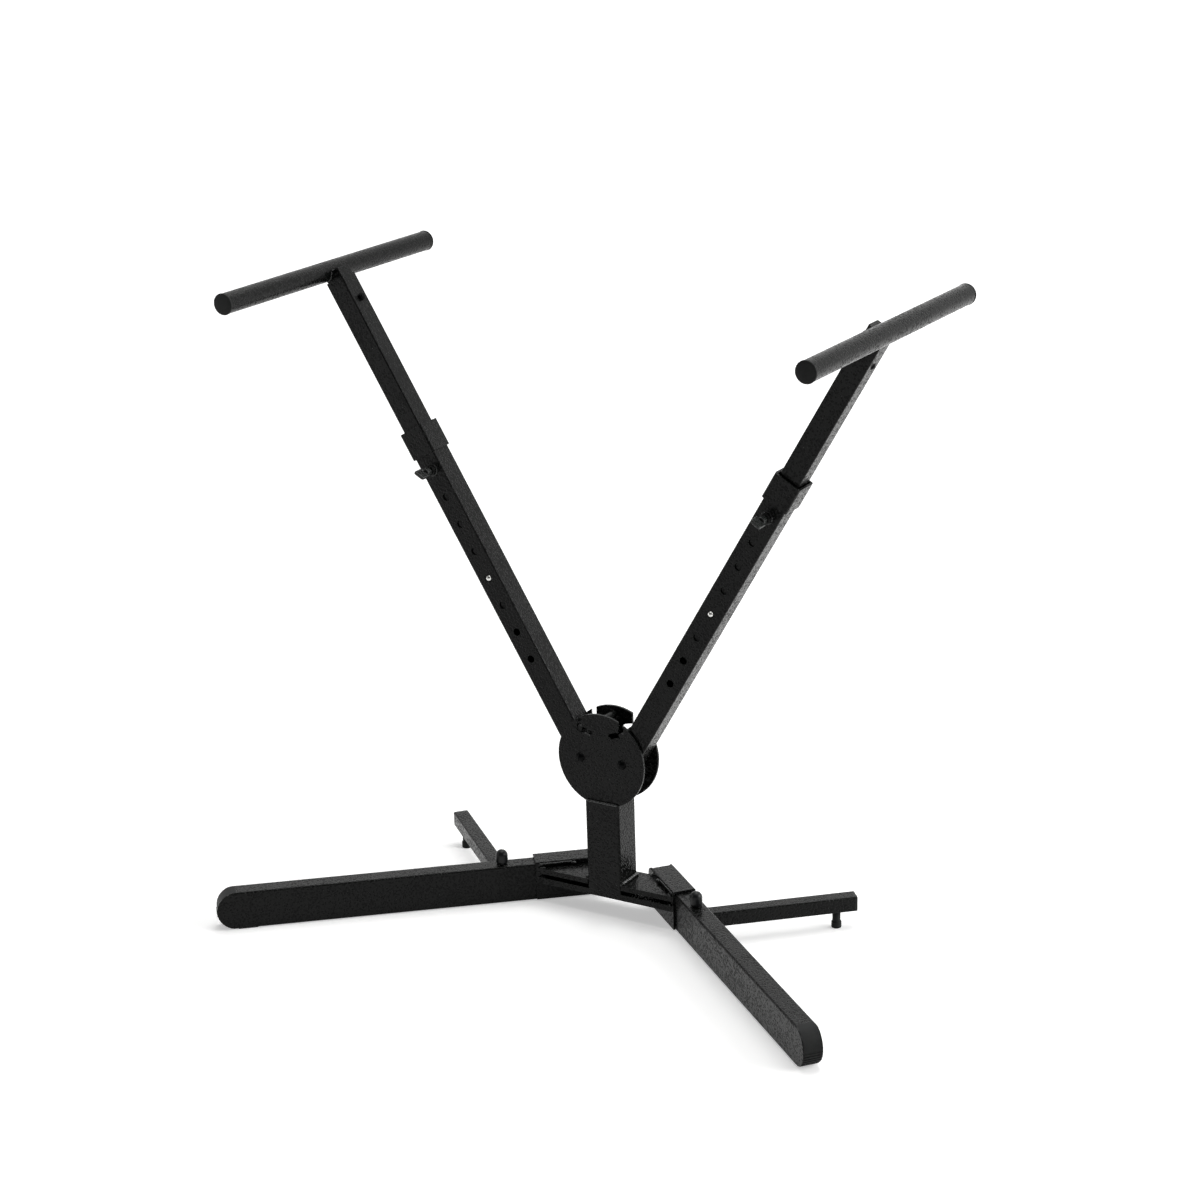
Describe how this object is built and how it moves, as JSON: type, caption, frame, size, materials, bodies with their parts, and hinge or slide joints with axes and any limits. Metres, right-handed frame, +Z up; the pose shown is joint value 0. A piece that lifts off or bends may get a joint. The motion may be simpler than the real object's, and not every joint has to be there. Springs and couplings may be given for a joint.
{
  "type": "keyboard stand",
  "caption": "Folding keyboard stand: splayed legs, short square post with round pivot discs, and telescopic arms in a V that end in round support tubes.",
  "frame": {"origin": "on the floor, under the middle of the stand's bounding box", "axes": "+X to the player's right, +Y away from the player, +Z up"},
  "size_m": [0.8618, 0.4946, 0.8085],
  "materials": {
    "powder_coat": "satin black powder coat with a fine grain",
    "black_bolt": "black oxide, semi-gloss",
    "zinc_plate": "zinc plated, satin",
    "chrome_plate": "bright plating",
    "spring_steel": "plain spring steel",
    "black_rubber": "matte black",
    "black_plastic": "satin black moulding",
    "nylon": "natural nylon"
  },
  "bodies": {
    "base": {"post": "powder_coat", "front_disc": "powder_coat", "rear_disc": "powder_coat", "disc_spacer": "powder_coat", "pivot_bolts": "black_bolt", "pivot_nuts": "black_bolt", "lower_base_plate": "powder_coat", "upper_base_plate": "powder_coat", "right_leg_bracket": "powder_coat", "left_leg_bracket": "powder_coat", "leg_hinge_pins": "black_bolt"},
    "right_lower_arm": {"right_lower_tube": "powder_coat", "right_pivot_sleeve": "zinc_plate", "right_pivot_washers": "nylon", "right_stop_rod": "powder_coat", "right_collar": "powder_coat", "right_clamp_boss": "powder_coat"},
    "right_riser": {"right_upper_tube": "powder_coat", "right_riser_plug": "black_plastic", "right_button_spring": "spring_steel", "right_support": "powder_coat", "right_support_caps": "black_rubber", "right_support_bolt": "black_bolt"},
    "right_button": {"right_snap_button": "chrome_plate"},
    "right_wing": {"right_wing_screw": "black_bolt"},
    "right_leg": {"right_front_leg": "powder_coat", "right_front_leg_cap": "black_rubber", "right_rear_leg_stud": "zinc_plate", "right_rear_leg_spacers": "zinc_plate"},
    "right_knob": {"right_clamp_knob": "black_plastic"},
    "right_rear_swing_leg": {"right_rear_leg": "powder_coat", "right_rear_leg_barrel": "zinc_plate", "right_rear_leg_plug": "black_plastic", "right_foot_nut": "zinc_plate"},
    "right_foot": {"right_rear_foot": "black_rubber"},
    "left_lower_arm": {"left_lower_tube": "powder_coat", "left_pivot_sleeve": "zinc_plate", "left_pivot_washers": "nylon", "left_stop_rod": "powder_coat", "left_collar": "powder_coat", "left_clamp_boss": "powder_coat"},
    "left_riser": {"left_upper_tube": "powder_coat", "left_riser_plug": "black_plastic", "left_button_spring": "spring_steel", "left_support": "powder_coat", "left_support_caps": "black_rubber", "left_support_bolt": "black_bolt"},
    "left_button": {"left_snap_button": "chrome_plate"},
    "left_wing": {"left_wing_screw": "black_bolt"},
    "left_leg": {"left_front_leg": "powder_coat", "left_front_leg_cap": "black_rubber", "left_rear_leg_stud": "zinc_plate", "left_rear_leg_spacers": "zinc_plate"},
    "left_knob": {"left_clamp_knob": "black_plastic"},
    "left_rear_swing_leg": {"left_rear_leg": "powder_coat", "left_rear_leg_barrel": "zinc_plate", "left_rear_leg_plug": "black_plastic", "left_foot_nut": "zinc_plate"},
    "left_foot": {"left_rear_foot": "black_rubber"}
  },
  "joints": [
    {"name": "right_arm_fold", "type": "hinge", "parent": "base", "child": "right_lower_arm", "pos_m": [0.03, 0.0343, 0.213], "axis": [0, -1, 0], "range_deg": [0, 22]},
    {"name": "right_height_slide", "type": "slide", "parent": "right_lower_arm", "child": "right_riser", "axis": [0.5075, 0, 0.8616], "range_m": [-0.114, 0.114]},
    {"name": "right_button_press", "type": "slide", "parent": "right_riser", "child": "right_button", "axis": [0, 1, 0], "range_m": [0, 0.006], "stiffness_N_per_m": 1500, "springref_m": -0.002, "deforming": ["right_button_spring"]},
    {"name": "right_wing_turn", "type": "hinge", "parent": "right_lower_arm", "child": "right_wing", "pos_m": [0.23505, 0.0343, 0.5611], "axis": [0, -1, 0], "range_deg": [0, 360]},
    {"name": "right_leg_fold", "type": "hinge", "parent": "base", "child": "right_leg", "pos_m": [0.06511, 0.06246, 0.0258], "axis": [0.6428, 0.766, 0], "range_deg": [0, 90]},
    {"name": "right_knob_turn", "type": "hinge", "parent": "right_leg", "child": "right_knob", "pos_m": [0.14325, -0.0031, 0.06], "axis": [0, 0, 1], "range_deg": [0, 270]},
    {"name": "right_rear_leg_swing", "type": "hinge", "parent": "right_leg", "child": "right_rear_swing_leg", "pos_m": [0.14325, -0.0031, 0.033], "axis": [0, 0, -1], "range_deg": [0, 66]},
    {"name": "right_foot_level", "type": "slide", "parent": "right_rear_swing_leg", "child": "right_foot", "axis": [0, 0, -1], "range_m": [0, 0.008]},
    {"name": "left_arm_fold", "type": "hinge", "parent": "base", "child": "left_lower_arm", "pos_m": [-0.03, 0.0343, 0.213], "axis": [0, 1, 0], "range_deg": [0, 22]},
    {"name": "left_height_slide", "type": "slide", "parent": "left_lower_arm", "child": "left_riser", "axis": [-0.5075, 0, 0.8616], "range_m": [-0.114, 0.114]},
    {"name": "left_button_press", "type": "slide", "parent": "left_riser", "child": "left_button", "axis": [0, 1, 0], "range_m": [0, 0.006], "stiffness_N_per_m": 1500, "springref_m": -0.002, "deforming": ["left_button_spring"]},
    {"name": "left_wing_turn", "type": "hinge", "parent": "left_lower_arm", "child": "left_wing", "pos_m": [-0.23505, 0.0343, 0.5611], "axis": [0, -1, 0], "range_deg": [0, 360]},
    {"name": "left_leg_fold", "type": "hinge", "parent": "base", "child": "left_leg", "pos_m": [-0.06511, 0.06246, 0.0258], "axis": [0.6428, -0.766, 0], "range_deg": [0, 90]},
    {"name": "left_knob_turn", "type": "hinge", "parent": "left_leg", "child": "left_knob", "pos_m": [-0.14325, -0.0031, 0.06], "axis": [0, 0, 1], "range_deg": [0, 270]},
    {"name": "left_rear_leg_swing", "type": "hinge", "parent": "left_leg", "child": "left_rear_swing_leg", "pos_m": [-0.14325, -0.0031, 0.033], "axis": [0, 0, 1], "range_deg": [0, 66]},
    {"name": "left_foot_level", "type": "slide", "parent": "left_rear_swing_leg", "child": "left_foot", "axis": [0, 0, -1], "range_m": [0, 0.008]}
  ]
}
